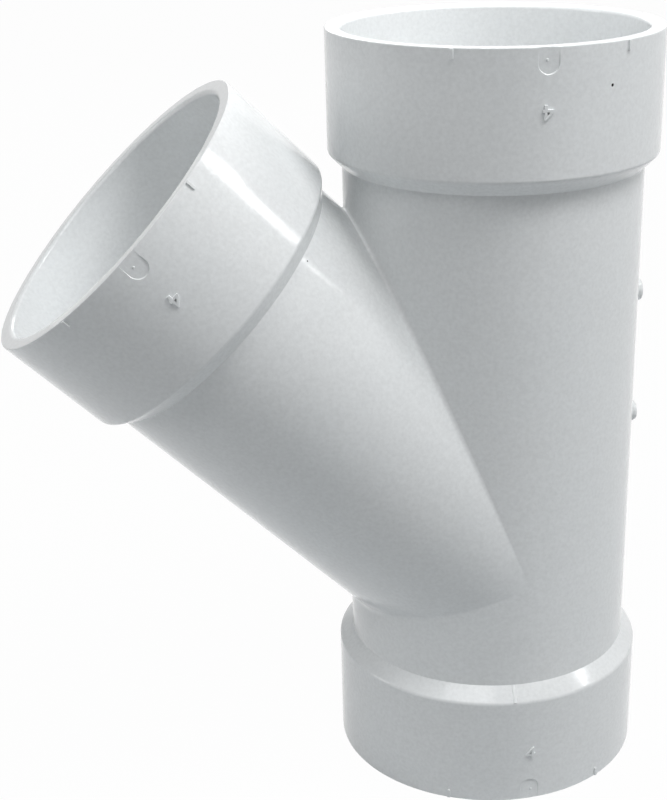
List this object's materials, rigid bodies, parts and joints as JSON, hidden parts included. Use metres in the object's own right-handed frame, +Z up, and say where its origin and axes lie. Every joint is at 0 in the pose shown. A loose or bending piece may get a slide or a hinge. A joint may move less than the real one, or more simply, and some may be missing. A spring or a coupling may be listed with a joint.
{
  "type": "lateral wye fitting",
  "caption": "Straight drain pipe run with a socket at each end and a socketed branch that leaves its side at 45 degrees, moulded in one piece to merge flows.",
  "frame": {"origin": "centre of the lower mouth, in the plane of its rim, on which the fitting stands", "axes": "+Z up the run, the branch leans towards -X and +Z in the XZ plane, and the moulded marks face -Y"},
  "size_m": [0.2538, 0.127, 0.3021],
  "materials": {
    "white_plastic": "glossy"
  },
  "bodies": {
    "root": {"wye_fitting": "white_plastic"}
  },
  "joints": []
}
